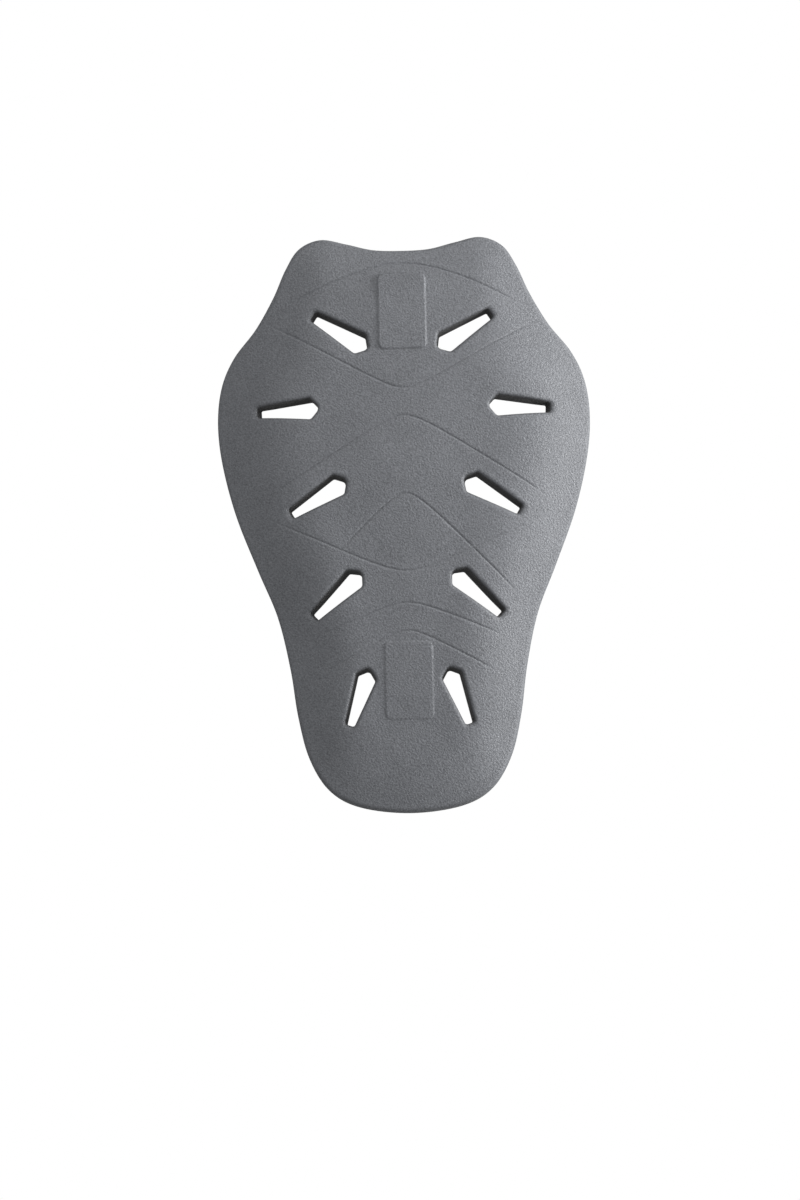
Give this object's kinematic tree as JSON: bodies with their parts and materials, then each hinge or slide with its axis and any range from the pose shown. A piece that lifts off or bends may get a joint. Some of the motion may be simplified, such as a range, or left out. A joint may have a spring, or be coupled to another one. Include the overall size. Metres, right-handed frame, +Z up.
{
  "type": "back protector insert",
  "caption": "Moulded foam back protector insert, eared at the neck, wide at the shoulders, with tapered vent slots and two flat patch seats.",
  "frame": {"origin": "on the surface that the pad lies on, under the middle of its outline", "axes": "+X across the back, +Y towards the neck, +Z up out of the outer face"},
  "size_m": [0.278, 0.4318, 0.0312],
  "materials": {
    "foam": "matt moulded foam skin with a fine grain"
  },
  "bodies": {
    "root": {"foam_pad": "foam"}
  },
  "joints": []
}
